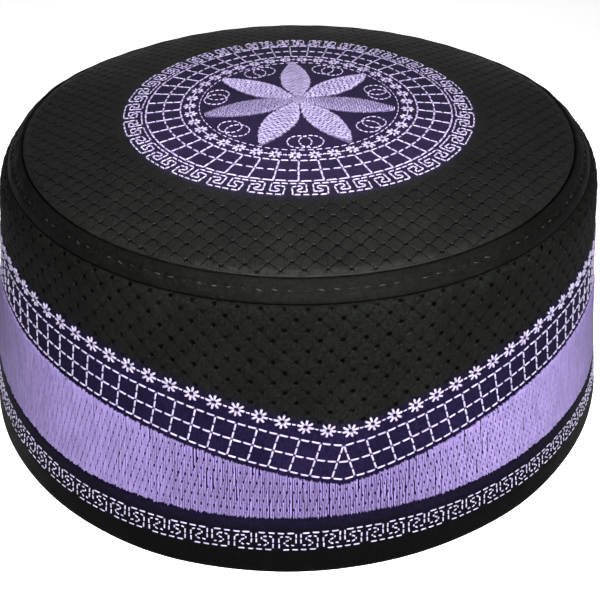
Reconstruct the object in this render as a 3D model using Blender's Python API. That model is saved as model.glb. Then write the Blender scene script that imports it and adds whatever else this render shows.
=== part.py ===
# Kufi: a soft round cap that stands on its rim. Sizes in metres, +Z up, front of the cap towards -Y.
# The outline is one turned profile, slightly oval at the rim, with the crown a little lower behind.
import bpy
import bmesh
from math import atan2, cos, hypot, pi, radians, sin
from mathutils import Vector

MM = 0.001

# Driving sizes of the outline
RIM_RADIUS = 95.0 * MM
MIDDLE_RADIUS = 86.8 * MM
MIDDLE_HEIGHT = 40.0 * MM
SHOULDER_RADIUS = 81.55 * MM
SHOULDER_HEIGHT = 79.0 * MM
SHOULDER_START = 70.0 * MM
SHOULDER_ROUNDING = 1.8 * MM
SHOULDER_TURN = radians(44.0)
WALL_TOP = 78.3 * MM
SEAM_RADIUS = 75.25 * MM
SEAM_HEIGHT = 82.5 * MM
CROWN_HEIGHT = 87.1 * MM
ROLL_SINK = 0.1 * MM
CROWN_EDGE_ROUND = 0.5 * MM

# How far the soft rim has settled out of round, and how far the crown drops behind
RIM_OVAL = 3.3 * MM
RIM_SKEW = 1.5 * MM
BACK_DROP = 1.7 * MM
DROP_FROM_HEIGHT = 45.0 * MM
DROP_FROM_SINE = 0.17
DROP_FULL_SINE = 0.77

# Cloth
CLOTH = 2.4 * MM
HEM_CLOTH = 3.0 * MM
HEM_STEP = 0.4 * MM
HEM_ROUND = 0.7 * MM
ROLL_PUFF = 0.7 * MM
GAP = 0.3 * MM

# Hem and fill-stitched band; both slope a little from the left side down to the right side
HEM_HEIGHT = 17.4 * MM
BAND_SLOPE = 2.0 * MM
SATIN_RELIEF = 0.9 * MM
SATIN_EDGE_ROUND = 0.25 * MM
VALLEY_AZIMUTH = 7.3
VALLEY_COUNT = 3
VALLEY_HEIGHT = 26.4 * MM
WAVE_RISE = 17.0 * MM

# Seven-petal rosette on the crown
PETAL_COUNT = 7
PETAL_LENGTH = 27.3 * MM
PETAL_HALF_WIDTH = 4.4 * MM
PETAL_VALLEY = 5.4 * MM
PETAL_STATIONS = 9
FIRST_PETAL = radians(-111.5)
ROSETTE_RELIEF = 1.0 * MM
ROSETTE_CROWNING = 0.5 * MM

SEGMENTS = 90
VALLEY_ANGLE = radians(VALLEY_AZIMUTH - 90.0)


def clear_scene():
    for item in list(bpy.data.objects):
        bpy.data.objects.remove(item, do_unlink=True)


def smooth_step(low, high, value):
    share = min(max((value - low) / (high - low), 0.0), 1.0)
    return share * share * (3.0 - 2.0 * share)


def mean_radius(z):
    # a parabola through the rim, the middle and the shoulder, with the shoulder rounded in
    to_middle = (MIDDLE_RADIUS - RIM_RADIUS) / MIDDLE_HEIGHT
    to_shoulder = (SHOULDER_RADIUS - RIM_RADIUS) / SHOULDER_HEIGHT
    bend = (to_shoulder - to_middle) / (SHOULDER_HEIGHT - MIDDLE_HEIGHT)
    radius = RIM_RADIUS + z * (to_middle + bend * (z - MIDDLE_HEIGHT))
    rounding = max((z - SHOULDER_START) / (WALL_TOP - SHOULDER_START), 0.0)
    return radius - SHOULDER_ROUNDING * rounding ** 4


def plan_offset(angle, z):
    fade = max(1.0 - (z / SHOULDER_HEIGHT) ** 2, 0.0)
    return fade * (RIM_OVAL * cos(2 * angle) + RIM_SKEW * sin(2 * angle))


def back_drop(angle, share):
    return BACK_DROP * smooth_step(DROP_FROM_SINE, DROP_FULL_SINE, sin(angle)) * share


def band_slope(angle):
    return -BAND_SLOPE * cos(angle)


def hem_top(angle):
    return HEM_HEIGHT + band_slope(angle)


def satin_top(angle):
    lobe = 2 * pi / VALLEY_COUNT
    along = (angle - VALLEY_ANGLE) % lobe
    from_valley = min(along, lobe - along)
    return VALLEY_HEIGHT + WAVE_RISE * sin(pi * from_valley / lobe) + band_slope(angle)


def wall_point(angle, z, depth):
    # inward is level on the wall and turns down over the shoulder
    turn = max((z - SHOULDER_START) / (WALL_TOP - SHOULDER_START), 0.0)
    inward = SHOULDER_TURN * turn ** 1.5
    radius = mean_radius(z) + plan_offset(angle, z) - depth * cos(inward)
    height = z - depth * sin(inward) - back_drop(angle, smooth_step(DROP_FROM_HEIGHT, WALL_TOP, z))
    return Vector((radius * cos(angle), radius * sin(angle), height))


def crown_z(angle, radius):
    share = radius / SEAM_RADIUS
    return CROWN_HEIGHT - (CROWN_HEIGHT - SEAM_HEIGHT) * share ** 2 - back_drop(angle, share ** 3)


def material(name, colour, roughness):
    made = bpy.data.materials.new(name)
    made.use_nodes = True
    shader = made.node_tree.nodes["Principled BSDF"]
    shader.inputs["Base Color"].default_value = (*colour, 1.0)
    shader.inputs["Roughness"].default_value = roughness
    shader.inputs["Metallic"].default_value = 0.0
    return made


def add_object(name, body, finish):
    bmesh.ops.recalc_face_normals(body, faces=body.faces[:])
    mesh = bpy.data.meshes.new(name)
    body.to_mesh(mesh)
    body.free()
    mesh.shade_smooth()
    mesh.set_sharp_from_angle(angle=radians(40))
    mesh.materials.append(finish)
    made = bpy.data.objects.new(name, mesh)
    bpy.context.collection.objects.link(made)
    return made


def turned_ring(name, profile, place, finish):
    # profile: closed loop of (depth, share) pairs; place turns angle, depth and share into a point
    body = bmesh.new()
    loop = [body.verts.new((1.0 + depth, 0.0, share)) for depth, share in profile]
    edges = [body.edges.new((loop[i - 1], loop[i])) for i in range(len(loop))]
    bmesh.ops.spin(body, geom=edges, cent=(0, 0, 0), axis=(0, 0, 1), angle=2 * pi,
                   steps=SEGMENTS, use_merge=True, use_duplicate=False)
    for vert in body.verts:
        angle = atan2(vert.co.y, vert.co.x) + VALLEY_ANGLE
        depth = hypot(vert.co.x, vert.co.y) - 1.0
        vert.co = place(angle, depth, vert.co.z)
    return add_object(name, body, finish)


def side_loop(thickness, outer_steps, inner_steps):
    # a plain cloth section: up the outside, then down the inside
    outside = [(0.0, i / outer_steps) for i in range(outer_steps + 1)]
    inside = [(thickness, 1.0 - i / inner_steps) for i in range(inner_steps + 1)]
    return outside + inside


def make_side_wall(finish):
    def place(angle, depth, share):
        low = hem_top(angle) + GAP
        return wall_point(angle, low + (WALL_TOP - low) * share, depth)
    # more rows towards the rounded shoulder
    rows = (0.0, 0.25, 0.5, 0.72, 0.86, 0.93, 0.97, 1.0)
    profile = [(0.0, row) for row in rows] + [(CLOTH, row) for row in reversed(rows)]
    return turned_ring("side_wall", profile, place, finish)


def make_hem_band(finish):
    def place(angle, depth, share):
        z = hem_top(angle) * share
        radius = mean_radius(z) + plan_offset(angle, z) + HEM_STEP - depth
        return Vector((radius * cos(angle), radius * sin(angle), z))
    fold = HEM_ROUND / HEM_HEIGHT
    profile = [(HEM_ROUND, 0.0), (0.0, fold), (0.0, 0.5), (0.0, 1.0)]
    profile += [(HEM_CLOTH, 1.0), (HEM_CLOTH, fold), (HEM_CLOTH - HEM_ROUND, 0.0)]
    return turned_ring("hem_band", profile, place, finish)


def make_satin_band(finish):
    def place(angle, depth, share):
        low = hem_top(angle) + GAP
        z = low + (satin_top(angle) - low) * share
        return wall_point(angle, z, depth)
    edge = SATIN_EDGE_ROUND - SATIN_RELIEF
    profile = [(-GAP, 0.0), (edge, 0.0), (-SATIN_RELIEF, 0.08), (-SATIN_RELIEF, 0.5)]
    profile += [(-SATIN_RELIEF, 0.92), (edge, 1.0), (-GAP, 1.0), (-GAP, 0.5)]
    return turned_ring("satin_band", profile, place, finish)


def make_crown_roll(finish):
    # its lower edge lies square to the wall's slanted top edge, one gap away
    outer_radius = mean_radius(WALL_TOP) - GAP * sin(SHOULDER_TURN)
    outer_height = WALL_TOP + GAP * cos(SHOULDER_TURN)

    def place(angle, depth, share):
        radius = outer_radius + (SEAM_RADIUS - outer_radius) * share
        height = outer_height + (SEAM_HEIGHT - ROLL_SINK - outer_height) * share
        puff = ROLL_PUFF * sin(pi * share) ** 0.8 - depth
        inward = SHOULDER_TURN + (pi / 2 - SHOULDER_TURN) * share
        radius += puff * cos(inward)
        height += puff * sin(inward) - back_drop(angle, 1.0)
        return Vector((radius * cos(angle), radius * sin(angle), height))
    return turned_ring("crown_roll", side_loop(CLOTH, 6, 3), place, finish)


def make_crown(finish):
    body = bmesh.new()
    rings = (0.14, 0.3, 0.46, 0.62, 0.78, 0.9, 0.97, 1.0)
    edge_radius = SEAM_RADIUS - GAP
    centre_top = body.verts.new((0, 0, CROWN_HEIGHT))
    centre_low = body.verts.new((0, 0, CROWN_HEIGHT - CLOTH))
    loop = [centre_top]
    for share in rings:
        sink = CROWN_EDGE_ROUND if share == 1.0 else 0.0
        loop.append(body.verts.new((edge_radius * share, 0, -sink)))
    for share in (1.0, 0.8, 0.5):
        loop.append(body.verts.new((edge_radius * share, 0, -CLOTH)))
    loop.append(centre_low)
    edges = [body.edges.new((loop[i], loop[i + 1])) for i in range(len(loop) - 1)]
    bmesh.ops.spin(body, geom=edges, cent=(0, 0, 0), axis=(0, 0, 1), angle=2 * pi,
                   steps=SEGMENTS, use_merge=True, use_duplicate=False)
    for vert in body.verts:
        radius = hypot(vert.co.x, vert.co.y)
        if radius < 1e-6:
            continue
        angle = atan2(vert.co.y, vert.co.x)
        vert.co.z += crown_z(angle, radius)
    bmesh.ops.remove_doubles(body, verts=body.verts[:], dist=1e-6)
    return add_object("crown", body, finish)


def petal_half_width(share):
    return PETAL_HALF_WIDTH * sin(pi * share) ** 0.8


def make_crown_rosette(finish):
    body = bmesh.new()

    def top_vert(angle, radius, puff):
        x, y = radius * cos(angle), radius * sin(angle)
        height = crown_z(angle, radius) + ROSETTE_RELIEF + puff
        return body.verts.new((x, y, height))

    half_step = pi / PETAL_COUNT
    centre = top_vert(0.0, 0.0, 0.0)
    valleys = [top_vert(FIRST_PETAL + (2 * k - 1) * half_step, PETAL_VALLEY, 0.0) for k in range(PETAL_COUNT)]
    base = PETAL_VALLEY * cos(half_step)
    for k in range(PETAL_COUNT):
        axis = FIRST_PETAL + 2 * k * half_step
        left, right = valleys[k], valleys[(k + 1) % PETAL_COUNT]
        middle = top_vert(axis, base, ROSETTE_CROWNING)
        body.faces.new((centre, left, middle))
        body.faces.new((centre, middle, right))
        for i in range(1, PETAL_STATIONS):
            along = base + (PETAL_LENGTH - base) * i / PETAL_STATIONS
            side = petal_half_width(along / PETAL_LENGTH)
            turn = atan2(side, along)
            reach = hypot(side, along)
            next_left = top_vert(axis - turn, reach, 0.0)
            next_middle = top_vert(axis, along, ROSETTE_CROWNING)
            next_right = top_vert(axis + turn, reach, 0.0)
            body.faces.new((left, next_left, next_middle, middle))
            body.faces.new((middle, next_middle, next_right, right))
            left, middle, right = next_left, next_middle, next_right
        tip = top_vert(axis, PETAL_LENGTH, 0.0)
        body.faces.new((left, tip, middle))
        body.faces.new((middle, tip, right))
    raised = bmesh.ops.extrude_face_region(body, geom=body.faces[:])["geom"]
    for vert in [item for item in raised if isinstance(item, bmesh.types.BMVert)]:
        radius = hypot(vert.co.x, vert.co.y)
        vert.co.z = crown_z(atan2(vert.co.y, vert.co.x), radius) + GAP
    return add_object("crown_rosette", body, finish)


def main():
    clear_scene()
    quilted = material("quilted_cotton", (0.03, 0.03, 0.028), 0.85)
    plain = material("plain_cotton", (0.02, 0.018, 0.022), 0.8)
    thread = material("lavender_thread", (0.42, 0.33, 0.68), 0.5)
    make_crown(quilted)
    make_crown_roll(plain)
    make_side_wall(quilted)
    make_hem_band(plain)
    make_satin_band(thread)
    make_crown_rosette(thread)


main()
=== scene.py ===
# Kufi: a quilted black cloth cap with lavender embroidery, dressed over the CAD frame.
# Work is in millimetres, and az is degrees round from the front of the cap, positive towards +X.
from math import cos, pi, radians, sin

import bmesh
import bpy
import numpy as np
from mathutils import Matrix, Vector


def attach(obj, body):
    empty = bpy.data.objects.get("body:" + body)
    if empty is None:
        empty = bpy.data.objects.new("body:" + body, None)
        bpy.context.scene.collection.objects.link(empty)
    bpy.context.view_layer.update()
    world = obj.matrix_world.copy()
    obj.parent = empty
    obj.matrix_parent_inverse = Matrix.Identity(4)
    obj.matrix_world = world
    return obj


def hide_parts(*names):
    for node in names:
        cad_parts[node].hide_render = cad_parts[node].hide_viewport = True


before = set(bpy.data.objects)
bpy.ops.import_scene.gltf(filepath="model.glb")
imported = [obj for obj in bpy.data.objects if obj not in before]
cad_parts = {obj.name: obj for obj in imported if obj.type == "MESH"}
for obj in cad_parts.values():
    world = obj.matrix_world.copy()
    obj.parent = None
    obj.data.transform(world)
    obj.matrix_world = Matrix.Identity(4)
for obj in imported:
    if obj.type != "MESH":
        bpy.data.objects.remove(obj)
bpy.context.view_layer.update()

mm = 0.001
dice = np.random.default_rng(7)


# outline, as in the CAD source

cap = {
    "rimRadius": 95.0, "middleRadius": 86.8, "middleHeight": 40.0,
    "shoulderRadius": 81.55, "shoulderHeight": 79.0, "shoulderStart": 70.0,
    "shoulderRounding": 1.8, "shoulderTurn": radians(44.0), "wallTop": 78.3,
    "seamRadius": 75.25, "seamHeight": 82.5, "crownHeight": 87.1,
    "rimOval": 3.3, "rimSkew": 1.5,  # how far the soft rim has settled out of round
    "backDrop": 1.7, "dropFromHeight": 45.0, "dropFromSine": 0.17, "dropFullSine": 0.77,
    "cloth": 2.4, "hemCloth": 3.0, "hemStep": 0.4, "gap": 0.3, "rollPuff": 0.5,
    "hemHeight": 17.9,
    "valleyAz": 7.3, "lobe": 120.0, "valleyHeight": 26.9, "waveRise": 17.0,
}
# how the soft cap has settled: the wall's pattern leans and is drawn in towards the front and the back,
# and the medallion lies a little forward, bowed at its front and back
settled = {
    "lean": 2.9, "hemLean": 0.33, "hemLeanRise": (0.0, 9.0), "hemLeanFade": (20.0, 40.0),
    "leftLean": 2.2, "leftAz": -66.0, "leftReach": 14.0, "drawnIn": 0.4,
    "forward": 1.0, "frontBow": 1.0, "backBow": 2.3, "bowReach": 40.0,
    "valleyRounding": 0.55, "valleyReach": 3.0, "unevenness": 0.16,
}


def smoothStep(low, high, value):
    share = np.clip((value - low) / (high - low), 0.0, 1.0)
    return share * share * (3.0 - 2.0 * share)


def shoulderShare(z):
    return np.maximum((z - cap["shoulderStart"]) / (cap["wallTop"] - cap["shoulderStart"]), 0.0)


def meanRadius(z):
    toMiddle = (cap["middleRadius"] - cap["rimRadius"]) / cap["middleHeight"]
    toShoulder = (cap["shoulderRadius"] - cap["rimRadius"]) / cap["shoulderHeight"]
    bend = (toShoulder - toMiddle) / (cap["shoulderHeight"] - cap["middleHeight"])
    radius = cap["rimRadius"] + z * (toMiddle + bend * (z - cap["middleHeight"]))
    return radius - cap["shoulderRounding"] * shoulderShare(z) ** 4


def planOffset(az, z):
    fade = np.maximum(1.0 - (z / cap["shoulderHeight"]) ** 2, 0.0)
    twice = np.radians(2.0 * az)
    return -fade * (cap["rimOval"] * np.cos(twice) + cap["rimSkew"] * np.sin(twice))


def backDrop(az, share):
    behind = smoothStep(cap["dropFromSine"], cap["dropFullSine"], -np.cos(np.radians(az)))
    return cap["backDrop"] * behind * share


def lean(az, z):
    bow = np.sin(pi * np.clip(z / cap["wallTop"], 0.0, 1.0))
    fromLeft = (az - settled["leftAz"] + 180.0) % 360.0 - 180.0
    high = settled["leftLean"] * np.exp(-(fromLeft / settled["leftReach"]) ** 2)
    high = high - settled["lean"] * np.sin(np.radians(az)) ** 3
    low = settled["hemLean"] * np.sin(np.radians(2.0 * az))
    low = low * smoothStep(*settled["hemLeanRise"], z) * (1.0 - smoothStep(*settled["hemLeanFade"], z))
    return high * bow + low


def drawnIn(az):
    return az - settled["drawnIn"] * np.sin(np.radians(2.0 * az))


def fromValley(az):
    along = (az - cap["valleyAz"]) % cap["lobe"]
    return np.minimum(along, cap["lobe"] - along)


def wave(az):
    # the scallop that the satin, the grid and the flowers all follow, a little rounded in its valleys
    away = fromValley(az)
    rounding = settled["valleyRounding"] * np.exp(-(away / settled["valleyReach"]) ** 2)
    return cap["waveRise"] * np.sin(pi * away / cap["lobe"]) + rounding


def ringPoint(az, radius, height):
    around = np.radians(az)
    return np.stack([radius * np.sin(around), -radius * np.cos(around), height + 0.0 * around], -1)


def softness(az, z):
    # the slight unevenness of hand-finished cloth
    around = np.radians(az)
    slow = np.sin(3.0 * around + 0.9) * np.sin(z / 19.0 + 1.0) + 0.7 * np.sin(5.0 * around + 4.0 + z / 27.0)
    quick = 0.35 * np.sin(11.0 * around + z / 9.0) + 0.25 * np.sin(17.0 * around + 2.0 - z / 13.0)
    return settled["unevenness"] * (slow + quick)


def onWall(az, z, lift=0.0):
    az, z = drawnIn(az), z + lean(az, z)
    inward = cap["shoulderTurn"] * shoulderShare(z) ** 1.5
    lift = lift + softness(az, z)
    radius = meanRadius(z) + planOffset(az, z) + lift * np.cos(inward)
    drop = backDrop(az, smoothStep(cap["dropFromHeight"], cap["wallTop"], z))
    return ringPoint(az, radius, z + lift * np.sin(inward) - drop)


def onHem(az, z, lift=0.0):
    az, z = drawnIn(az), z + lean(az, z)
    return ringPoint(az, meanRadius(z) + planOffset(az, z) + cap["hemStep"] + lift + softness(az, z), z)


def onRoll(az, share, lift=0.0):
    # from the wall's slanted top edge, at share 0, up to the crown seam, at share 1
    turn = cap["shoulderTurn"]
    lowRadius = meanRadius(cap["wallTop"]) - cap["gap"] * sin(turn)
    lowHeight = cap["wallTop"] + cap["gap"] * cos(turn)
    inward = turn + (pi / 2 - turn) * share
    puff = cap["rollPuff"] * np.sin(pi * np.clip(share, 0.0, 1.0)) ** 0.8 + lift
    puff = puff + softness(az, cap["wallTop"]) * np.cos(inward)
    radius = lowRadius + (cap["seamRadius"] - lowRadius) * share + puff * np.cos(inward)
    height = lowHeight + (cap["seamHeight"] - 0.1 - lowHeight) * share + puff * np.sin(inward)
    return ringPoint(az, radius, height - backDrop(az, 1.0))


def onCrown(az, radius, lift=0.0):
    share = radius / cap["seamRadius"]
    rise = cap["crownHeight"] - cap["seamHeight"]
    slope = 2.0 * rise * share / cap["seamRadius"]
    steep = np.sqrt(1.0 + slope * slope)
    height = cap["crownHeight"] - rise * share ** 2 - backDrop(az, share ** 3) + lift / steep
    return ringPoint(az, radius + lift * slope / steep, height)


def onCrownFlat(x, y, lift=0.0):
    return onCrown(np.degrees(np.arctan2(x, -y)), np.hypot(x, y), lift)


def onMedallionFlat(x, y, lift=0.0):
    bow = np.where(y > 0.0, settled["backBow"], settled["frontBow"]) * (y / settled["bowReach"]) ** 2
    return onCrownFlat(x, y - settled["forward"] + bow, lift)


def onMedallion(az, radius, lift=0.0):
    return onMedallionFlat(radius * np.sin(np.radians(az)), -radius * np.cos(np.radians(az)), lift)


# small helpers

def addNode(tree, kind, inputs=None, **settings):
    node = tree.nodes.new(kind)
    for key, value in settings.items():
        setattr(node, key, value)
    for socket, value in (inputs or {}).items():
        if isinstance(value, bpy.types.NodeSocket):
            tree.links.new(value, node.inputs[socket])
        else:
            node.inputs[socket].default_value = value
    return node


def maths(tree, operation, first, second=0.0, third=0.0):
    return addNode(tree, "ShaderNodeMath", {0: first, 1: second, 2: third}, operation=operation).outputs[0]


def mapRange(tree, value, low, high, toLow=0.0, toHigh=1.0, kind="LINEAR"):
    sockets = {"Value": value, "From Min": low, "From Max": high, "To Min": toLow, "To Max": toHigh}
    return addNode(tree, "ShaderNodeMapRange", sockets, interpolation_type=kind).outputs["Result"]


def mixColours(tree, share, first, second, blend="MIX"):
    node = addNode(tree, "ShaderNodeMix", data_type="RGBA", blend_type=blend)
    for socket, value in (("Factor_Float", share), ("A_Color", first), ("B_Color", second)):
        target = next(item for item in node.inputs if item.identifier == socket)
        if isinstance(value, bpy.types.NodeSocket):
            tree.links.new(value, target)
        else:
            target.default_value = value if socket == "Factor_Float" else (*value, 1.0)
    return next(item for item in node.outputs if item.identifier == "Result_Color")


def shaded(tree, colour, shade):
    grey = addNode(tree, "ShaderNodeCombineColor", {0: shade, 1: shade, 2: shade}).outputs[0]
    return mixColours(tree, 1.0, colour, grey, "MULTIPLY")


def addBump(tree, shader, height):
    bump = addNode(tree, "ShaderNodeBump", {"Height": height, "Distance": mm, "Strength": 1.0})
    tree.links.new(bump.outputs[0], shader.inputs["Normal"])


def noise(tree, place, scale, detail, part="Fac"):
    sockets = {"Vector": place, "Scale": scale, "Detail": detail}
    return addNode(tree, "ShaderNodeTexNoise", sockets).outputs[part]


def attribute(tree, name):
    return addNode(tree, "ShaderNodeAttribute", attribute_name=name).outputs["Fac"]


def newGroup(name, inputs, outputs):
    group = bpy.data.node_groups.new(name, "ShaderNodeTree")
    for socket, kind, value in inputs:
        made = group.interface.new_socket(name=socket, in_out="INPUT", socket_type=kind)
        if value is not None:
            made.default_value = value
    for socket, kind in outputs:
        group.interface.new_socket(name=socket, in_out="OUTPUT", socket_type=kind)
    return group, group.nodes.new("NodeGroupInput").outputs, group.nodes.new("NodeGroupOutput").inputs


def newMaterial(name, settings):
    made = bpy.data.materials.new(name)
    made.use_nodes = True
    shader = made.node_tree.nodes["Principled BSDF"]
    for socket, value in settings.items():
        shader.inputs[socket].default_value = value
    return made, made.node_tree, shader


def makeMesh(name, body):
    mesh = bpy.data.meshes.new(name)
    body.to_mesh(mesh)
    body.free()
    return mesh


def readInts(items, field):
    values = np.empty(len(items), np.int32)
    items.foreach_get(field, values)
    return values


def getPoints(mesh):
    flat = np.empty(len(mesh.vertices) * 3, np.float32)
    mesh.vertices.foreach_get("co", flat)
    return flat.reshape(-1, 3).astype(float)


def setPoints(mesh, points):
    mesh.vertices.foreach_set("co", (points * mm).astype(np.float32).ravel())
    mesh.update()


def addMask(mesh, name, values):
    made = mesh.attributes.new(name, "FLOAT", "POINT")
    made.data.foreach_set("value", np.asarray(values, np.float32).ravel())


def addUv(mesh, name, pairs, turn=None):
    # pairs: one for each vertex; turn is what one full round adds, to close the seam of a ring
    uv = pairs[readInts(mesh.loops, "vertex_index")]
    if turn is not None:
        starts = readInts(mesh.polygons, "loop_start")
        wide = np.repeat(np.maximum.reduceat(uv[:, 0], starts), np.diff(np.append(starts, len(uv))))
        uv = uv + np.outer(wide - uv[:, 0] > turn[0] / 2, turn)
    layer = mesh.uv_layers.new(name=name)
    layer.data.foreach_set("uv", uv.astype(np.float32).ravel())


def addObject(name, data):
    made = bpy.data.objects.new(name, data)
    bpy.context.collection.objects.link(made)
    return made


def finishPiece(name, mesh, look):
    mesh.shade_smooth()
    mesh.materials.append(look)
    piece = addObject(name, mesh)
    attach(piece, "root")
    return piece


def spinRound(body, edges, steps):
    bmesh.ops.spin(body, geom=edges, cent=(0, 0, 0), axis=(0, 0, 1), angle=2 * pi, steps=steps,
                   use_merge=True, use_duplicate=False)


def turnedRing(name, profile, steps):
    # spins a closed loop of (depth, row) pairs; returns the mesh with az, depth and row of each vertex
    body = bmesh.new()
    loop = [body.verts.new((1.0 + 0.1 * depth, 0.0, row)) for depth, row in profile]
    spinRound(body, [body.edges.new((loop[i - 1], loop[i])) for i in range(len(loop))], steps)
    bmesh.ops.recalc_face_normals(body, faces=body.faces[:])
    mesh = makeMesh(name, body)
    at = getPoints(mesh)
    az = np.degrees(np.arctan2(at[:, 0], -at[:, 1]))
    # depth 0 is the outside of the cloth, so a spun radius of 1 is the outside too
    return mesh, az, (np.hypot(at[:, 0], at[:, 1]) - 1.0) * 10.0, at[:, 2]


# stitches

def threadTemplate(sides, stations):
    # one stitch from 0 to 1 along x; each station is (along, half width, top, bottom)
    body = bmesh.new()
    bmesh.ops.create_cone(body, cap_ends=True, segments=sides, radius1=1.0, radius2=1.0, depth=1.0)
    longEdges = [edge for edge in body.edges if abs(edge.verts[0].co.z - edge.verts[1].co.z) > 0.5]
    bmesh.ops.subdivide_edges(body, edges=longEdges, cuts=len(stations) - 2, use_grid_fill=True)
    # the root mask is painted shade: 1 at a stitch's ends and underside, where it meets the cloth and its
    # neighbours, and 0 on its top
    root = body.verts.layers.float.new("root")
    for vert in body.verts:
        along, width, top, bottom = stations[round((vert.co.z + 0.5) * (len(stations) - 1))]
        up = (vert.co.y + 1.0) / 2.0
        vert[root] = 1.0 - up if 0.02 < along < 0.98 else 1.0  # where a stitch sinks into the cloth
        vert.co = (along, vert.co.x * width, bottom + (top - bottom) * up)
    bmesh.ops.recalc_face_normals(body, faces=body.faces[:])
    mesh = makeMesh("threadTemplate", body)
    paintedRootShades = np.empty(len(mesh.vertices), np.float32)
    mesh.attributes["root"].data.foreach_get("value", paintedRootShades)
    made = {"points": getPoints(mesh), "paintedRootShades": paintedRootShades,
            "corners": readInts(mesh.loops, "vertex_index"), "starts": readInts(mesh.polygons, "loop_start")}
    bpy.data.meshes.remove(mesh)
    return made


def sewThreads(name, place, runs, template, width, height, lift=0.0, tone=0.15, shade=1.0):
    # runs: a row of u, v, u, v for each stitch; shade is a painted brightness for the whole piece, above 1 a
    # painted highlight and below 1 painted shade, and tone how much it varies at random
    surface, scale = place
    runs = np.asarray(runs, float)
    count = len(runs)
    start, step = runs[:, None, :2], (runs[:, 2:] - runs[:, :2])[:, None, :]
    middle = (runs[:, :2] + runs[:, 2:]) / 2
    unit = np.stack([scale(middle[:, 0], middle[:, 1]), np.ones(count)], -1)[:, None, :]
    length = np.linalg.norm(step * unit, axis=2, keepdims=True)
    side = np.stack([-step[..., 1] * unit[..., 1], step[..., 0] * unit[..., 0]], -1) / length / unit
    width = np.broadcast_to(width, count)[:, None, None]
    points = template["points"]
    along, across, up = points[None, :, :1], points[None, :, 1:2], points[:, 2]
    at = start + step * along + side * across * width
    spots = surface(at[..., 0], at[..., 1], lift + up * np.broadcast_to(height, count)[:, None])
    corners, starts, size = template["corners"], template["starts"], len(points)
    order = np.arange(count)[:, None]
    mesh = bpy.data.meshes.new(name)
    mesh.vertices.add(count * size)
    mesh.loops.add(count * len(corners))
    mesh.polygons.add(count * len(starts))
    mesh.polygons.foreach_set("loop_start", (starts + len(corners) * order).ravel().astype(np.int32))
    mesh.polygons.foreach_set("vertices", (corners + size * order).ravel().astype(np.int32))
    setPoints(mesh, spots.reshape(-1, 3))
    mesh.update(calc_edges=True)
    mesh.validate()
    addMask(mesh, "root", np.tile(template["paintedRootShades"], count))
    addMask(mesh, "tone", np.repeat(shade * (1.0 + tone * dice.uniform(-1.0, 1.0, count)), size))
    strand = np.concatenate([along * length, across * width + 0.0 * along], -1)
    addUv(mesh, "strand", (strand + dice.uniform(0, 9, (count, 1, 1))).reshape(-1, 2))
    return mesh


def plainDash(start, end, count, gap=0.42, endGap=0.12, unit=1.0):
    # splits a straight run into stitches, with a needle's gap between them
    (u0, v0), (u1, v1) = start, end
    long = max(np.hypot((u1 - u0) * unit, v1 - v0), 1e-6)
    rows = []
    for i in range(count):
        low = i / count + (endGap if i == 0 else gap / 2) / long
        high = (i + 1) / count - (endGap if i == count - 1 else gap / 2) / long
        rows.append([a + (b - a) * share for share in (low, high) for a, b in ((u0, u1), (v0, v1))])
    return rows


def ringDash(radius, count, fill, turn=0.0):
    pitch = 360.0 / count
    return [(turn + pitch * k, radius, turn + pitch * (k + fill), radius) for k in range(count)]


# millimetres in a unit of u: on the crown by az and radius, on the wall by az and height, and on the flat

def arcScale(u, v):
    return radians(1.0) * v


def wallScale(u, v):
    return radians(1.0) * (meanRadius(v) + planOffset(u, v))


def flatScale(u, v):
    return 1.0 + 0.0 * u


def jitter(runs, amount, scale=1.0):
    # no two stitches of a sewing machine land quite alike
    shake = dice.normal(0.0, amount, (len(runs), 4))
    shake[:, ::2] /= scale
    return np.asarray(runs, float) + shake


# finishes

def makeWeave():
    # over and under threads of a plain weave, with a little lint; the place is in millimetres
    group, source, result = newGroup(
        "clothWeave", [("Place", "NodeSocketVector", None), ("Spacing", "NodeSocketFloat", 0.3)],
        [("Height", "NodeSocketFloat"), ("Shade", "NodeSocketFloat")])
    parts = addNode(group, "ShaderNodeSeparateXYZ", {0: source["Place"]}).outputs
    turns = maths(group, "DIVIDE", pi, source["Spacing"])
    warp, weft = [maths(group, "SINE", maths(group, "MULTIPLY", parts[way], turns)) for way in ("X", "Y")]
    bumps = maths(group, "ABSOLUTE", maths(group, "MULTIPLY", warp, weft))
    lint = addNode(group, "ShaderNodeTexNoise", {"Vector": source["Place"], "Scale": 1.0, "Detail": 6.0,
                                                  "Roughness": 0.72})
    height = maths(group, "ADD", maths(group, "MULTIPLY", bumps, 0.4), lint.outputs["Fac"])
    group.links.new(height, result["Height"])
    group.links.new(mapRange(group, height, 0.38, 0.9, 0.3, 1.7), result["Shade"])
    return group


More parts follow.
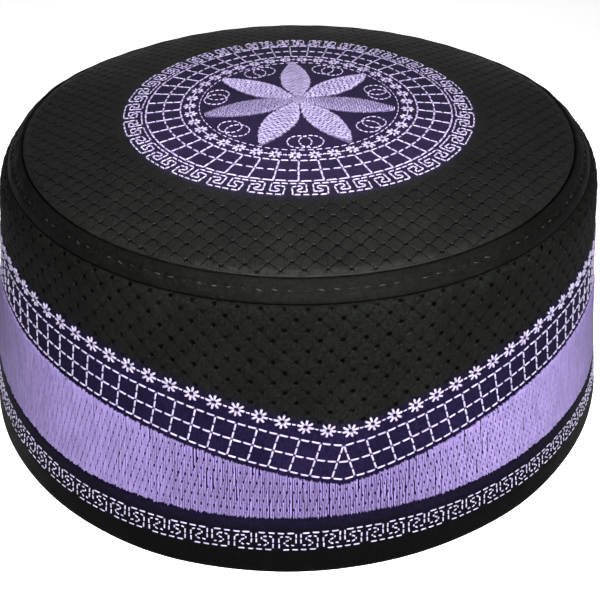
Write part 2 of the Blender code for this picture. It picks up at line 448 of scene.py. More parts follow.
def makeNeedlePits():
    # quilting lattice: a needle hole wherever two lines of stitching cross, and a soft groove along each line
    group, source, result = newGroup(
        "needlePits", [("Lattice", "NodeSocketVector", None), ("Size", "NodeSocketFloat", 0.1)],
        [("Pit", "NodeSocketFloat"), ("Groove", "NodeSocketFloat")])
    lattice = source["Lattice"]
    ragged = noise(group, lattice, 3.1, 3.0, "Color")
    shift = addNode(group, "ShaderNodeVectorMath", {0: ragged, 1: (0.5, 0.5, 0.5)}, operation="SUBTRACT")
    moved = addNode(group, "ShaderNodeVectorMath", {0: shift.outputs[0], 1: (0.16, 0.16, 0.0), 2: lattice},
                    operation="MULTIPLY_ADD")
    parts = addNode(group, "ShaderNodeSeparateXYZ", {0: moved.outputs[0]}).outputs
    near = [maths(group, "ABSOLUTE", maths(group, "SUBTRACT", parts[way], maths(group, "ROUND", parts[way])))
            for way in ("X", "Y")]
    squares = [maths(group, "POWER", part, 2.0) for part in near]
    share = maths(group, "DIVIDE", maths(group, "SQRT", maths(group, "ADD", *squares)), source["Size"])
    # no two holes are pulled equally tight
    pull = mapRange(group, noise(group, lattice, 0.9, 1.0), 0.36, 0.6, 0.45, 1.0)
    hole = mapRange(group, share, 0.45, 1.5, 1.0, 0.0, "SMOOTHSTEP")
    group.links.new(maths(group, "MULTIPLY", hole, pull), result["Pit"])
    line = maths(group, "MINIMUM", *near)
    group.links.new(mapRange(group, line, 0.015, 0.085, 1.0, 0.0, "SMOOTHSTEP"), result["Groove"])
    return group


def makeTwist():
    # the slanting plies of a twisted thread; the place is in millimetres along and across the stitch
    group, source, result = newGroup(
        "threadTwist", [("Place", "NodeSocketVector", None), ("Pitch", "NodeSocketFloat", 0.24)],
        [("Height", "NodeSocketFloat"), ("Shade", "NodeSocketFloat")])
    parts = addNode(group, "ShaderNodeSeparateXYZ", {0: source["Place"]}).outputs
    slant = maths(group, "MULTIPLY_ADD", parts["Y"], 0.6, parts["X"])
    turns = maths(group, "DIVIDE", maths(group, "MULTIPLY", slant, 2 * pi), source["Pitch"])
    fibre = noise(group, source["Place"], 7.0, 3.0)
    height = maths(group, "MULTIPLY_ADD", maths(group, "SINE", turns), 0.35, fibre)
    group.links.new(height, result["Height"])
    group.links.new(mapRange(group, height, 0.1, 0.9, 0.82, 1.12), result["Shade"])
    return group


weave, needlePits, threadTwist = makeWeave(), makeNeedlePits(), makeTwist()

clothLook = {
    # pit is the near-black painted into the needle holes and the quilting grooves as painted shade
    "black": (0.0150, 0.0160, 0.0145), "pit": (0.0020, 0.0020, 0.0020),
    "crownViolet": (0.0215, 0.0145, 0.041), "wallViolet": (0.0155, 0.0108, 0.032),
    "cell": 3.9, "weave": 0.34, "relief": 0.11, "pitRelief": 0.35, "grooveRelief": 0.05,
    "wallHoles": (0.125, 0.2), "crownHoles": (0.1, 0.8),  # size, and shade of the grooves
}


def makeCloth(name, gloss, depth, rough=(0.5, 0.64), holes=None, violet="wallViolet"):
    # black cotton; violet where the embroidery's ground thread is worked in
    made, tree, shader = newMaterial(name, {"Specular IOR Level": gloss})
    place = addNode(tree, "ShaderNodeUVMap", uv_map="lattice" if holes else "grain").outputs[0]
    cell, turn = (clothLook["cell"], radians(45.0)) if holes else (1.0, 0.0)
    mapping = {"Vector": place, "Scale": (cell, cell, 1.0), "Rotation": (0.0, 0.0, turn)}
    threads = {"Place": addNode(tree, "ShaderNodeMapping", mapping).outputs[0], "Spacing": clothLook["weave"]}
    woven = addNode(tree, "ShaderNodeGroup", threads, node_tree=weave).outputs
    # depth is painted shade: the same black, darker on some pieces
    black = [part * depth for part in clothLook["black"]]
    ground = mixColours(tree, attribute(tree, "violet"), black, clothLook[violet])
    mottle = noise(tree, addNode(tree, "ShaderNodeTexCoord").outputs["Object"], 90.0, 4.0)
    shade = maths(tree, "MULTIPLY", woven["Shade"], mapRange(tree, mottle, 0.3, 0.7, 0.84, 1.16))
    colour = shaded(tree, ground, shade)
    height = maths(tree, "MULTIPLY", woven["Height"], clothLook["relief"])
    if holes:
        size, paintedGrooveShade = holes
        pits = addNode(tree, "ShaderNodeGroup", {"Lattice": place, "Size": size}, node_tree=needlePits)
        quilted = attribute(tree, "quilted")
        pit, groove = [maths(tree, "MULTIPLY", pits.outputs[part], quilted) for part in ("Pit", "Groove")]
        # painted shade: the grooves and the needle holes are darkened towards the pit colour
        colour = mixColours(tree, maths(tree, "MULTIPLY", groove, paintedGrooveShade), colour, clothLook["pit"])
        colour = mixColours(tree, pit, colour, clothLook["pit"])
        sunk = maths(tree, "MULTIPLY", groove, clothLook["grooveRelief"])
        sunk = maths(tree, "MULTIPLY_ADD", pit, clothLook["pitRelief"], sunk)
        height = maths(tree, "SUBTRACT", height, sunk)
    tree.links.new(colour, shader.inputs["Base Color"])
    tree.links.new(mapRange(tree, mottle, 0.3, 0.7, *rough), shader.inputs["Roughness"])
    addBump(tree, shader, height)
    return made


def makeThread(name, colour, dark, settings, pitch=0.24, paintedShadeStrength=0.8, paintedShadeFrom=0.25):
    made, tree, shader = newMaterial(name, settings)
    strand = addNode(tree, "ShaderNodeUVMap", uv_map="strand").outputs[0]
    twist = addNode(tree, "ShaderNodeGroup", {"Place": strand, "Pitch": pitch}, node_tree=threadTwist).outputs
    # tone holds each piece's painted brightness, with its random variation
    lit = shaded(tree, colour, maths(tree, "MULTIPLY", twist["Shade"], attribute(tree, "tone")))
    # painted shade: the colour is mixed towards the dark colour where the root mask is high, between threads
    # and where they sink into the cloth
    paintedShadeMask = mapRange(tree, attribute(tree, "root"), paintedShadeFrom, 1.0, 0.0, paintedShadeStrength, "SMOOTHSTEP")
    tree.links.new(mixColours(tree, paintedShadeMask, lit, dark), shader.inputs["Base Color"])
    addBump(tree, shader, maths(tree, "MULTIPLY", twist["Height"], 0.05))
    return made


# the crown has been pressed to a faint gloss; depth darkens the one black cotton per piece as painted shade,
# most on the hem and then on the roll
wallCloth = makeCloth("quiltedCotton", 0.02, 0.82, holes=clothLook["wallHoles"])
crownCloth = makeCloth("crownCotton", 0.24, 0.82, (0.34, 0.44), clothLook["crownHoles"], "crownViolet")
plainCloth = makeCloth("plainCotton", 0.06, 0.56, (0.4, 0.52))
hemCloth = makeCloth("hemCotton", 0.02, 0.28)
rayon = {"Roughness": 0.42, "Specular IOR Level": 0.3, "Sheen Weight": 0.05, "Sheen Roughness": 0.4}
cotton = {"Roughness": 0.5, "Specular IOR Level": 0.3}
# each thread's second colour is the painted shade that its root mask mixes in
brightThread = makeThread("paleLavenderThread", (0.36, 0.32, 0.45), (0.03, 0.02, 0.07), rayon)
wallThread = makeThread("greyLavenderThread", (0.345, 0.31, 0.42), (0.02, 0.012, 0.05), rayon)
satinThread = makeThread("lavenderSatinThread", (0.235, 0.187, 0.365), (0.004, 0.003, 0.012), rayon,
                         0.2, 0.92, 0.62)
petalThread = makeThread("paleSatinThread", (0.265, 0.232, 0.355), (0.04, 0.03, 0.075), rayon,
                         0.2, 0.85, 0.35)
blackThread = makeThread("blackThread", (0.034, 0.035, 0.033), (0.008, 0.008, 0.008), cotton, 0.2)
padThread = makeThread("rosettePadding", (0.17, 0.14, 0.25), (0.05, 0.03, 0.13), rayon)
print("finishes made")


# quilted wall

quilting = {
    "columns": 100, "rowPitch": 2.93, "topRow": 75.7, "phase": -0.35,  # needle holes on the wall
    "shoulderStretch": 1.42,  # the cloth's extra length over the shoulder
    "crownPitch": 3.57, "crownTurn": radians(48.0),
    "puff": 0.24, "pit": 0.4, "pitReach": 0.12, "crownShare": 0.17,
    "wallFromBand": 16.2, "crownFrom": 50.0, "edgeFade": 2.0,
}
# under the seam the wall's inner half is lapped behind the roll's outer half: depths in mm, and rows
seamLap = {"wallDepth": 1.25, "wallRise": 0.8, "rollDepth": 0.95, "rollRow": 0.13, "closer": 0.028}
wallMesh = {"steps": 800, "fineFrom": 43.47, "finePitch": 0.7325, "fineRows": 47, "lowRows": 7,
            "edge": 0.5, "edgeSink": 0.1, "violet": (15.5, 19.5)}


def quiltLift(a, b):
    # cushions between the stitching lines, pulled in hard at each needle hole
    cushion = np.sqrt(np.abs(np.sin(pi * a) * np.sin(pi * b)))
    nearA, nearB = a - np.round(a), b - np.round(b)
    hole = np.exp(-(nearA ** 2 + nearB ** 2) / quilting["pitReach"] ** 2)
    return quilting["puff"] * (cushion - 0.55) - quilting["pit"] * hole


def wallLattice(az, z):
    high = z + quilting["shoulderStretch"] * shoulderShare(z) ** 4
    across = (az - quilting["phase"]) * quilting["columns"] / 360.0
    down = (quilting["topRow"] - high) / (2 * quilting["rowPitch"])
    return across + down, across - down


def aboveBand(az, z):
    return z - cap["valleyHeight"] - wave(az)


def makeWall():
    shape, lap = wallMesh, seamLap
    rows = [i / shape["lowRows"] for i in range(shape["lowRows"])]
    rows += [1.0 + i for i in range(shape["fineRows"])]
    top = 1.0 + (cap["wallTop"] - shape["fineFrom"]) / shape["finePitch"]
    profile = [(0.0, row) for row in [*rows, top]]
    profile += [(-lap["wallDepth"], top), (-lap["wallDepth"], top + lap["wallRise"])]
    profile += [(-cap["cloth"], row) for row in (top + lap["wallRise"], 32.0, 16.0, 1.0, 0.5, 0.0)]
    mesh, az, depth, row = turnedRing("quiltedWall", profile, shape["steps"])
    low = cap["hemHeight"] + cap["gap"]
    fine = shape["fineFrom"] + (row - 1.0) * shape["finePitch"]
    z = np.where(row < 1.0, low + (shape["fineFrom"] - low) * row, fine)
    a, b = wallLattice(az, z)
    quilted = smoothStep(0.0, quilting["edgeFade"], aboveBand(az, z) - quilting["wallFromBand"])
    outer = depth > -0.5 * cap["cloth"]
    edge = smoothStep(cap["wallTop"] - shape["edge"], cap["wallTop"], z)
    lift = np.where(outer, quilted * quiltLift(a, b) * (1.0 - edge) - shape["edgeSink"] * edge, depth)
    setPoints(mesh, onWall(az, z, lift))
    addUv(mesh, "lattice", np.stack([a, b], -1), turn=(quilting["columns"], quilting["columns"]))
    addMask(mesh, "quilted", quilted * outer)
    addMask(mesh, "violet", outer * (1.0 - smoothStep(*shape["violet"], aboveBand(az, z))))
    wall = finishPiece("quiltedWall", mesh, wallCloth)
    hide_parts("side_wall")


# quilted crown

crownMesh = {
    "steps": 360, "coarse": (5.0, 12.0, 19.0, 26.0, 33.0, 38.5, 43.0, 45.5), "fineFrom": 47.4,
    "finePitch": 0.6, "under": (72.0, 60.0, 40.0, 18.0, 0.0), "edge": 74.95, "edgeReach": 2.2,
    "edgeRound": 0.3, "pleats": 68, "pleatDepth": 0.1, "plainFrom": (74.0, 74.8),
    "violet": ((0.4, 42.5, 45.5), (0.6, 47.4, 50.2)),  # how much of the violet goes, and between which radii
}


def crownLattice(x, y):
    turn, pitch = quilting["crownTurn"], quilting["crownPitch"]
    return (x * cos(turn) + y * sin(turn)) / pitch, (y * cos(turn) - x * sin(turn)) / pitch


def makeCrown():
    shape, thick, reach = crownMesh, cap["cloth"], crownMesh["edge"]
    fine = np.arange(shape["fineFrom"], reach - 0.3, shape["finePitch"])
    profile = [(radius, 0.0) for radius in (0.0, *shape["coarse"], *fine, reach - 0.12, reach)]
    profile += [(reach, 1.2), (reach, thick)] + [(radius, thick) for radius in shape["under"]]
    body = bmesh.new()
    line = [body.verts.new((radius, 0.0, -deep)) for radius, deep in profile]
    spinRound(body, [body.edges.new(pair) for pair in zip(line[:-1], line[1:])], shape["steps"])
    bmesh.ops.remove_doubles(body, verts=body.verts[:], dist=1e-4)
    # twice as many steps round where the quilting needs them
    around = []
    for edge in body.edges:
        (r0, z0), (r1, z1) = [(vert.co.xy.length, vert.co.z) for vert in edge.verts]
        level = abs(r0 - r1) < 0.01 and abs(z0 - z1) < 0.01
        if level and min(r0, r1) > shape["fineFrom"] - 0.1 and not (z0 < -2.0 and r0 < 74.0):
            around.append(edge)
    bmesh.ops.subdivide_edges(body, edges=around, cuts=1, use_grid_fill=True)
    bmesh.ops.recalc_face_normals(body, faces=body.faces[:])
    mesh = makeMesh("quiltedCrown", body)
    at = getPoints(mesh)
    az, radius = np.degrees(np.arctan2(at[:, 0], -at[:, 1])), np.hypot(at[:, 0], at[:, 1])
    a, b = crownLattice(at[:, 0], at[:, 1])
    outer = at[:, 2] > -0.5
    quilted = smoothStep(0.0, quilting["edgeFade"], radius - quilting["crownFrom"]) * outer
    # the edge is pulled down into the seam, a little deeper at each seam stitch
    turned = smoothStep(reach - shape["edgeReach"], reach, radius)
    pleat = 0.5 + 0.5 * np.cos(np.radians(az * shape["pleats"]))
    pulled = -shape["edgeRound"] * turned ** 2 - shape["pleatDepth"] * pleat ** 2 * turned
    cushions = quilting["crownShare"] * quilted * quiltLift(a, b) * (1.0 - 0.4 * turned)
    setPoints(mesh, onCrown(az, radius, np.where(outer, cushions + pulled, at[:, 2])))
    addUv(mesh, "lattice", np.stack([a, b], -1))
    addMask(mesh, "quilted", quilted * (1.0 - smoothStep(*shape["plainFrom"], radius)))
    faded = sum(share * smoothStep(low, high, radius) for share, low, high in shape["violet"])
    addMask(mesh, "violet", outer * (1.0 - faded))
    crown = finishPiece("quiltedCrown", mesh, crownCloth)
    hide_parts("crown")


# plain cloth: the rolled strip round the crown, and the hem

rollMesh = {
    "steps": 900, "rows": 15, "stitchRow": 0.46, "stitches": 150, "perDegree": 1.36, "across": 7.0,
    "drawn": 0.42, "drawnReach": 0.09, "ends": 0.55, "ripple": 0.12, "ripples": 41.0,
}
hemMesh = {"steps": 360, "fold": 1.5, "perDegree": 1.6, "ease": 0.14}


def makeRoll():
    shape, lap = rollMesh, seamLap
    profile = [(0.0, i / shape["rows"]) for i in range(shape["rows"] + 1)]
    profile += [(-cap["cloth"], row) for row in (1.0, 0.5, lap["rollRow"])]
    profile += [(-lap["rollDepth"], lap["rollRow"]), (-lap["rollDepth"], 0.0)]
    mesh, az, depth, row = turnedRing("crownRoll", profile, shape["steps"])
    # drawn in along the row of top stitching and at both seams
    drawn = np.exp(-((row - shape["stitchRow"]) / shape["drawnReach"]) ** 2)
    pucker = 0.45 + 0.55 * (0.5 + 0.5 * np.cos(np.radians(az * shape["stitches"]))) ** 2
    ends = 0.25 * smoothStep(0.14, 0.0, row) + smoothStep(0.9, 1.0, row)
    ripple = shape["ripple"] * np.sin(np.radians(az * shape["ripples"]) + 3.0 * row) * np.sin(pi * row)
    lift = np.where(depth > -0.1, -shape["drawn"] * drawn * pucker - shape["ends"] * ends + ripple, depth)
    setPoints(mesh, onRoll(az, row - lap["closer"] * (1.0 - row), lift))
    grain = np.stack([(az + 180.0) * shape["perDegree"], row * 6.0], -1)
    addUv(mesh, "grain", grain, turn=(360.0 * shape["perDegree"], 0.0))
    addMask(mesh, "violet", 0.0 * row)
    roll = finishPiece("crownRoll", mesh, plainCloth)
    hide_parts("crown_roll")


def makeHem():
    fold, thick, top, shape = hemMesh["fold"], cap["hemCloth"], cap["hemHeight"], hemMesh
    profile = [(-fold * (1 - sin(t)), fold * (1 - cos(t))) for t in np.radians([0, 18, 36, 54, 72, 90])]
    profile += [(0.0, z) for z in (2.6, 4.2, 5.8, 7.4, 9.0, 10.6, 12.2, 13.8, 15.4, 16.5)]
    profile += [(-0.25, top - 0.15), (-0.7, top), (-thick + 0.5, top), (-thick, top - 0.6)]
    profile += [(-thick, 9.0), (-thick, fold)]
    profile += [(-thick + fold * (1 - cos(t)), fold * (1 - sin(t))) for t in np.radians([36, 72])]
    mesh, az, depth, row = turnedRing("hemBand", profile, shape["steps"])
    ease = shape["ease"] * np.sin(pi * np.clip(row / top, 0, 1)) * (depth > -1.5)
    setPoints(mesh, onHem(az, row, depth + ease))
    grain = np.stack([(az + 180.0) * shape["perDegree"], row - 2.0 * depth], -1)
    addUv(mesh, "grain", grain, turn=(360.0 * shape["perDegree"], 0.0))
    violet = 0.2 * smoothStep(7.0, 9.5, row) + 0.34 * smoothStep(13.0, 16.5, row)
    addMask(mesh, "violet", violet * (depth > -1.6))
    hem = finishPiece("hemBand", mesh, hemCloth)
    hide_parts("hem_band")


makeWall()
makeCrown()
makeRoll()
makeHem()
print("cloth made")


# black sewing: quilting threads, top stitching and the crown seam

def evenStitch(sides, ends, root, broad):
    (width, top), (nearWidth, nearTop) = ends, broad
    return threadTemplate(sides, [(0.0, width, top, -0.5), (root, nearWidth, nearTop, -0.3),
                                  (1.0 - root, nearWidth, nearTop, -0.3), (1.0, width, top, -0.5)])


fineStitch = evenStitch(3, (0.5, 0.1), 0.2, (0.95, 0.85))
roundStitch = evenStitch(5, (0.62, 0.25), 0.16, (0.98, 0.9))
# what shows of the thread at each needle hole of the wall: mostly the part that leaves it down to the left,
# by side, chance, and the share of the way to the next hole where it starts and ends
shownThread = ((-1, 0.8, 0.11, 0.36), (1, 0.35, 0.12, 0.24))


def latticeRuns():
    columns = quilting["columns"]
    highs = np.linspace(40.0, 79.5, 400)
    stretched = highs + quilting["shoulderStretch"] * shoulderShare(highs) ** 4
    runs = []
    for row in range(-1, 10):
        ends = [quilting["topRow"] - quilting["rowPitch"] * end for end in (row, row + 1)]
        top, foot = [float(np.interp(end, stretched, highs)) for end in ends]
        fall = foot - top
        for column in range(columns):
            az = quilting["phase"] + (column + 0.5 * (row % 2)) * 360.0 / columns
            for side, chance, low, high in shownThread:
                step = side * 180.0 / columns
                shows = dice.uniform() < chance
                if shows and aboveBand(az + step, foot) > quilting["wallFromBand"] + 0.3:
                    high = high * dice.uniform(0.75, 1.25)
                    runs.append((az + step * low, top + fall * low, az + step * high, top + fall * high))
    return jitter(runs, 0.06, 1.5)


def crownLatticeRuns():
    turn, pitch = quilting["crownTurn"], quilting["crownPitch"]
    reach = int(cap["seamRadius"] / pitch) + 1
    runs = []
    for a in range(-reach, reach + 1):
        for b in range(-reach, reach + 1):
            for crossings in (((a, b), (a + 1, b)), ((a, b), (a, b + 1))):
                ends = [(pitch * (m * cos(turn) - n * sin(turn)), pitch * (m * sin(turn) + n * cos(turn)))
                        for m, n in crossings]
                if all(quilting["crownFrom"] + 0.4 < np.hypot(*end) < 73.6 for end in ends):
                    shares = (0.1, dice.uniform(0.25, 0.4))
                    runs.append([p + (q - p) * share for share in shares for p, q in zip(*ends)])
    return jitter(runs, 0.06)


def rollRuns():
    pitch, row = 360.0 / rollMesh["stitches"], rollMesh["stitchRow"]
    middle = [(pitch * (k + 0.25), row, pitch * (k + 0.7), row - 0.03) for k in range(rollMesh["stitches"])]
    low = [(pitch * k, 0.06, pitch * (k + 0.35), 0.16) for k in range(rollMesh["stitches"])]
    return jitter(middle + low, 0.025)


def seamRuns():
    pitch = 360.0 / crownMesh["pleats"]
    return jitter([(pitch * k, 72.6, pitch * k, 74.9) for k in range(crownMesh["pleats"])], 0.12)


def rollScale(u, v):
    return rollMesh["perDegree"] / rollMesh["across"] + 0.0 * u


def sewBlack(name, place, runs, width=0.17, height=0.3, lift=-0.16, shade=0.5):
    mesh = sewThreads(name, place, runs, fineStitch, width, height, lift, shade=shade)
    finishPiece(name, mesh, blackThread)


# shade paints the one black thread per piece: painted shade on the quilting and the seam, and a painted
# highlight on the roll's stitching as glints
sewBlack("wallQuilting", (onWall, wallScale), latticeRuns())
sewBlack("crownQuilting", (onCrownFlat, flatScale), crownLatticeRuns())
sewBlack("rollStitching", (onRoll, rollScale), rollRuns(), 0.035, 0.34, -0.32, shade=1.3)
sewBlack("crownSeam", (onCrown, arcScale), seamRuns(), 0.22, lift=-0.8, shade=0.6)
print("black sewing made")


# satin band

satin = {
    "threads": 1340, "cycle": 4, "stitch": 5.48, "firstPit": 25.97, "phase": 0.25, "start": 18.0,
    "width": 0.245, "height": 0.5, "lift": 0.2, "serration": 0.2, "pitGap": (0.78, 0.1), "shortest": 0.8,
    "slits": 300, "slitWidth": 0.13, "noSlit": 99, "perDegree": 1.55,
}


def satinRuns():
    # upright threads side by side, each a quarter of a stitch further on than the last one
    count, stitch, shortest = satin["threads"], satin["stitch"], satin["shortest"]
    # a slit opens between a thread and the one before it for the length of one stitch
    slit = np.full(count, satin["noSlit"])
    parted = 2 * dice.choice(count // 2, satin["slits"], replace=False)
    slit[parted] = dice.integers(-1, 4, satin["slits"])
    drift = dice.normal(0.0, 0.02, count)
    runs = []
    for thread in range(count):
        az = satin["phase"] + 360.0 / count * thread
        low = satin["start"] + dice.normal(0.0, satin["serration"])
        high = cap["valleyHeight"] + float(wave(az)) + dice.normal(0.0, satin["serration"])
        gap = satin["pitGap"][thread % 2] / 2
        first = satin["firstPit"] + stitch / satin["cycle"] * (thread % satin["cycle"])
        pits = [first + stitch * k for k in range(-4, 6)]
        pits = [low] + [pit for pit in pits if low + shortest < pit < high - shortest] + [high]
        for bottom, top in zip(pits[:-1], pits[1:]):
            step = int(np.floor((0.5 * (bottom + top) - satin["firstPit"]) / stitch))
            aside = int(slit[thread] == step) - int(slit[(thread + 1) % count] == step)
            at = az + (drift[thread] + satin["slitWidth"] * aside) / satin["perDegree"]
            runs.append((at, bottom + gap * (bottom > low), at, top - gap * (top < high)))
    return jitter(runs, 0.02)


satinStitch = threadTemplate(3, [(0.0, 0.55, 0.2, -0.6), (0.025, 0.95, 0.8, -0.5), (0.15, 1.04, 1.0, -0.4),
                                 (0.5, 1.0, 0.92, -0.4), (0.85, 1.04, 1.0, -0.4), (0.975, 0.95, 0.8, -0.5),
                                 (1.0, 0.55, 0.2, -0.6)])


def makeSatin():
    runs = satinRuns()
    lobes = np.floor(((runs[:, 0] - cap["valleyAz"] + cap["lobe"] / 2) % 360.0) / cap["lobe"]).astype(int)
    for lobe, name in enumerate(("satinFront", "satinRight", "satinLeft")):
        mesh = sewThreads(name, (onWall, wallScale), runs[lobes == lobe], satinStitch,
                          satin["width"], satin["height"], satin["lift"], tone=0.14)
        piece = finishPiece(name, mesh, satinThread)
        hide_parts("satin_band")


makeSatin()
print("satin band made")


# running-stitch embroidery: hem key, grid and flowers of the wave, medallion

hemKey = {
    "pairs": 50, "phase": 0.35, "middle": 10.9, "mirrored": -0.43, "unit": 1.55,
    "lines": ((2.6, 0.15, 6.3), (-2.6, -3.05, 2.6)),  # height, and where each pair's piece starts and ends
}
# one half of the hem's key: u0, v0, u1, v1 (degrees and millimetres), number of stitches
hemKeyRuns = (
    (0.00, 2.45, 0.02, -0.75, 2), (0.24, -1.32, 0.84, -1.12, 1), (1.16, -1.48, 1.70, -0.98, 1),
    (1.88, -0.85, 1.84, -0.22, 1), (1.70, -0.02, 1.10, 0.42, 1), (0.88, 0.52, 0.90, 1.25, 1),
    (1.06, 1.48, 1.76, 1.54, 1), (2.05, 1.60, 2.60, 1.26, 1), (2.75, 1.08, 2.70, -2.32, 2),
)
waveGrid = {
    "bottom": 28.35, "width": 10.1, "valleyExtra": 0.3, "firstLine": 1.0, "lines": 18, "crowding": 0.65,
    "slope": 0.288, "unit": 1.53, "halfWaves": 180.0 / cap["lobe"],
}
# flowers of eight stitches: how many in the row, where the first one is, and the size
flowers = {
    "wave": (99, 8.35, 2.1), "above": 3.75, "valleyExtra": 0.25,
    "crown": (38, -1.7, 1.85), "crownRadius": 30.0,
    "stitches": 8, "holeShare": 0.22, "linkGap": 0.05,
}
medallion = {
    "lines": 43, "rings": (32.6, 37.2, 42.0), "ringFill": (0.9, 0.78, 0.97), "thinRing": 27.4,
    "keyPairs": 28, "keyPhase": 3.4, "keyOuter": (47.95, 4.9), "keyInner": (43.15, 1.1), "keyUnit": 0.8,
    "loopRadius": 23.2, "loopPhase": 4.2, "loopCount": 7, "loopSize": 3.2, "loopApart": 1.5,
    "loopStitches": 13,
}
# half of the medallion's key: offset from the pair's middle and radius, twice, and number of stitches
medallionKeyRuns = (
    (5.00, 47.9, 5.42, 44.9, 2), (5.35, 44.55, 2.70, 44.2, 2), (2.55, 44.25, 2.25, 45.2, 1),
    (2.35, 45.35, 3.60, 45.8, 1), (3.70, 45.85, 3.68, 46.55, 1), (3.55, 46.65, 1.00, 46.65, 2),
    (1.00, 46.65, 1.07, 43.3, 2),
)


def sewBright(name, place, runs, look=brightThread, width=0.28, height=0.4):
    mesh = sewThreads(name, place, runs, roundStitch, width, height, tone=0.12)
    finishPiece(name, mesh, look)


def hemKeyStitches():
    key, pitch, runs = hemKey, 360.0 / hemKey["pairs"], []
    for pair in range(key["pairs"]):
        left = key["phase"] + pitch * pair
        for u0, v0, u1, v1, count in hemKeyRuns:
            for start, side in ((left, 1), (pitch * pair + key["mirrored"], -1)):
                runs += plainDash((start + side * u0, v0), (start + side * u1, v1), count,
                                  gap=0.14, endGap=0.0, unit=key["unit"])
        for height, low, high in key["lines"]:
            runs += plainDash((left + low, height), (left + high, height), 4, gap=0.5, unit=key["unit"])
    runs = jitter(runs, 0.045, key["unit"])
    runs[:, 1::2] += key["middle"]
    return runs


def gridLine(az, share):
    # share 0 is the grid's lower line, next to the satin, and 1 its upper line
    grid = waveGrid
    tall = grid["width"] + grid["valleyExtra"] * np.cos(radians(grid["halfWaves"]) * fromValley(az))
    return grid["bottom"] + wave(az) + tall * share


def onLine(az, share):
    return az, float(gridLine(az, share))


def gridCrossings(side, line, valley):
    # where one cross line, square to the band, meets the three lines along it; the last is the peak's
    grid = waveGrid
    share = line / grid["lines"]
    away = grid["firstLine"] + (cap["lobe"] / 2 - grid["firstLine"]) * share
    away += grid["crowding"] * sin(pi * share ** 0.65)
    slope = grid["slope"] * cos(radians(grid["halfWaves"] * away))
    shift = slope * grid["width"] / 2 / np.sqrt(1 + slope * slope) / grid["unit"]
    places = ((1, 0.0), (0, 0.5), (-1, 1.0))
    return [(valley + side * (away + slant * shift), share) for slant, share in places]


def waveGridStitches():
    grid, runs = waveGrid, []

    def along(az0, az1, share, count):
        for i in range(count):
            ends = [az0 + (az1 - az0) * (i + s) / count for s in (0.07, 0.93)]
            runs.append((*onLine(ends[0], share), *onLine(ends[1], share)))

    for lobe in range(3):
        valley = cap["valleyAz"] + cap["lobe"] * lobe
        for side in (-1, 1):
            crossings = [gridCrossings(side, line, valley) for line in range(grid["lines"] + 1)]
            for line, marks in enumerate(crossings):
                # the peak's line is shared with the next valley's left side
                if line < grid["lines"] or side == 1:
                    for low, high in zip(marks[:-1], marks[1:]):
                        runs.extend(plainDash(onLine(*low), onLine(*high), 2, 0.22, 0.14, grid["unit"]))
                if line:
                    for (az0, share), (az1, _) in zip(crossings[line - 1], marks):
                        along(az0, az1, share, 2)
            if side == 1:  # and the valley with this one's
                for (az, share), count in zip(crossings[0], (2, 1)):
                    along(2 * valley - az, az, share, count)
    return jitter(runs, 0.04, grid["unit"])


def flowerStitches(row, scale, middle):
    # stitches round each needle hole, and a link from each flower to the next one
    (count, phase, size), petals, links = row, [], []
    pitch = 360.0 / count
    for k in range(count):
        az = phase + pitch * k
        height = middle(az)
        unit = float(scale(az, height))
        turn = np.arctan((middle(az + 1.0) - middle(az - 1.0)) / (2 * unit))
        for petal in range(flowers["stitches"]):
            way = turn + radians(360.0 / flowers["stitches"]) * petal
            reaches = (flowers["holeShare"] * size, size)
            spots = [(az + reach * cos(way) / unit, height + reach * sin(way)) for reach in reaches]
            petals.append((*spots[0], *spots[1]))
        reach = (size + flowers["linkGap"]) / unit
        links.append((az + reach, middle(az + reach), az + pitch - reach, middle(az + pitch - reach)))
    return petals, links


def aboveGrid(az):
    extra = flowers["valleyExtra"] * cos(radians(waveGrid["halfWaves"]) * float(fromValley(az)))
    return float(gridLine(az, 1.0)) + flowers["above"] + extra


def medallionGridStitches():
    rings, count, runs = medallion["rings"], medallion["lines"], []
    for radius, fill in zip(rings, medallion["ringFill"]):
        runs += ringDash(radius, 2 * count, fill, turn=0.4)
    for line in range(count):
        az = 360.0 / count * line
        for low, high in zip(rings[:-1], rings[1:]):
            runs += plainDash((az, low), (az, high), 2, gap=-0.1, endGap=0.0)
    return jitter(runs, 0.05, 0.7)


def medallionKeyStitches():
    pitch, runs = 360.0 / medallion["keyPairs"], []
    (outer, reach), (inner, start) = medallion["keyOuter"], medallion["keyInner"]
    for pair in range(medallion["keyPairs"]):
        middle = medallion["keyPhase"] + pitch * pair
        for side in (-1, 1):
            for u0, r0, u1, r1, count in medallionKeyRuns:
                runs += plainDash((middle + side * u0, r0), (middle + side * u1, r1), count,
                                  gap=-0.05, endGap=-0.05, unit=medallion["keyUnit"])
        runs += plainDash((middle - reach, outer), (middle + reach, outer), 4, gap=0.35, unit=0.83)
        runs += plainDash((middle + start, inner), (middle + pitch - start, inner), 4, gap=0.2, unit=0.75)
    return jitter(runs, 0.035, medallion["keyUnit"])


def outwardAcross(turn):
    # the two directions of a petal or a loop that lies so far round from the front
    return np.array((sin(turn), -cos(turn))), np.array((cos(turn), sin(turn)))


def loopStitches():
    count, size, runs = medallion["loopStitches"], medallion["loopSize"], []
    for motif in range(medallion["loopCount"]):
        turn = radians(medallion["loopPhase"] + 360.0 / medallion["loopCount"] * motif)
        outward, across = outwardAcross(turn)
        for side in (-1, 1):
            centre = outward * medallion["loopRadius"] + across * (side * medallion["loopApart"])
            for stitch in range(count):
                ways = [2 * pi * (stitch + share) / count for share in (0.0, 0.85)]
                spots = [centre + size * (outward * cos(way) + across * sin(way)) for way in ways]
                runs.append((*spots[0], *spots[1]))
    return jitter(runs, 0.04)


